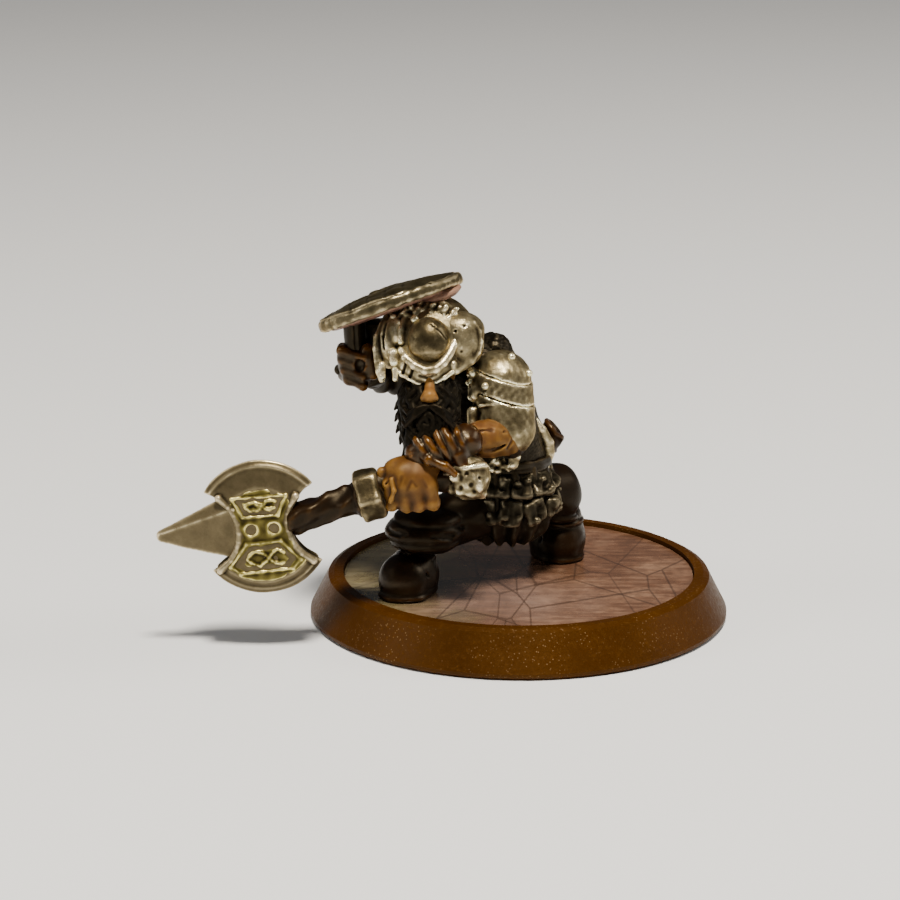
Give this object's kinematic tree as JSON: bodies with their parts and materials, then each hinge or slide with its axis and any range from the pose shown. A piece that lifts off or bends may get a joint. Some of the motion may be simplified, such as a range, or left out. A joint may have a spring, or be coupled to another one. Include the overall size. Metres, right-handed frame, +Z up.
{
  "type": "painted tabletop miniature",
  "caption": "Painted tabletop miniature of a crouching armoured dwarf-like fighter with a raised round shield and a low double-bladed axe, on a round sloped base.",
  "frame": {"origin": "centre of the round base's flat underside", "axes": "+Z up; +X the long way, with the axe's point towards -X; the figure lunges towards -X and -Y, and its face looks towards -Y"},
  "size_m": [0.0481, 0.036, 0.0303],
  "materials": {
    "steel_paint": "silver hobby paint with a dark wash, worn bright at the edges",
    "shield_metal": "silver hobby paint, hammered and worn bright on the rim",
    "mail_paint": "near-black mail with grey dry-brushed links",
    "skin_paint": "tan flesh paint with a brown wash, satin",
    "beard_paint": "black paint with brown-grey highlights on the curls",
    "leather_paint": "dark golden-brown leather paint, satin varnish",
    "haft_paint": "dark brown wood paint with lighter grain",
    "cloth_paint": "brown-black cloth paint with olive-brown highlights",
    "base_plastic": "amber-brown moulded plastic with a fine spark-textured skin",
    "disc_print": "glossy printed card of worn flagstones under clear varnish"
  },
  "bodies": {
    "root": {"axe_collar": "steel_paint", "axe_haft": "haft_paint", "axe_head": "steel_paint", "axe_pins": "steel_paint", "axe_pommel": "steel_paint", "axe_spike": "steel_paint", "base_disc": "disc_print", "base_rim": "base_plastic", "beard": "beard_paint", "belt": "leather_paint", "belt_buckle": "steel_paint", "belt_horn": "leather_paint", "elbow_plate": "steel_paint", "front_boot": "leather_paint", "front_leg": "cloth_paint", "head": "skin_paint", "helmet_boss": "steel_paint", "helmet_crescent": "steel_paint", "helmet_crest": "steel_paint", "helmet_lobe_left": "steel_paint", "helmet_lobe_right": "steel_paint", "helmet_prongs": "steel_paint", "helmet_rivets": "steel_paint", "helmet_shell": "steel_paint", "helmet_visor": "steel_paint", "left_bracer": "leather_paint", "left_fist": "skin_paint", "left_forearm": "skin_paint", "left_upper_arm": "cloth_paint", "mantle": "cloth_paint", "mantle_trim": "steel_paint", "pauldron_middle": "steel_paint", "pauldron_rivets": "steel_paint", "pauldron_top": "steel_paint", "rear_boot": "leather_paint", "rear_leg": "cloth_paint", "right_fist": "leather_paint", "right_forearm": "leather_paint", "right_upper_arm": "cloth_paint", "shield_board": "shield_metal", "shield_boss": "shield_metal", "shield_grip": "leather_paint", "shield_rim": "shield_metal", "shoulder_spine": "mail_paint", "skirt": "cloth_paint", "skirt_plates": "steel_paint", "torso": "mail_paint"}
  },
  "joints": []
}
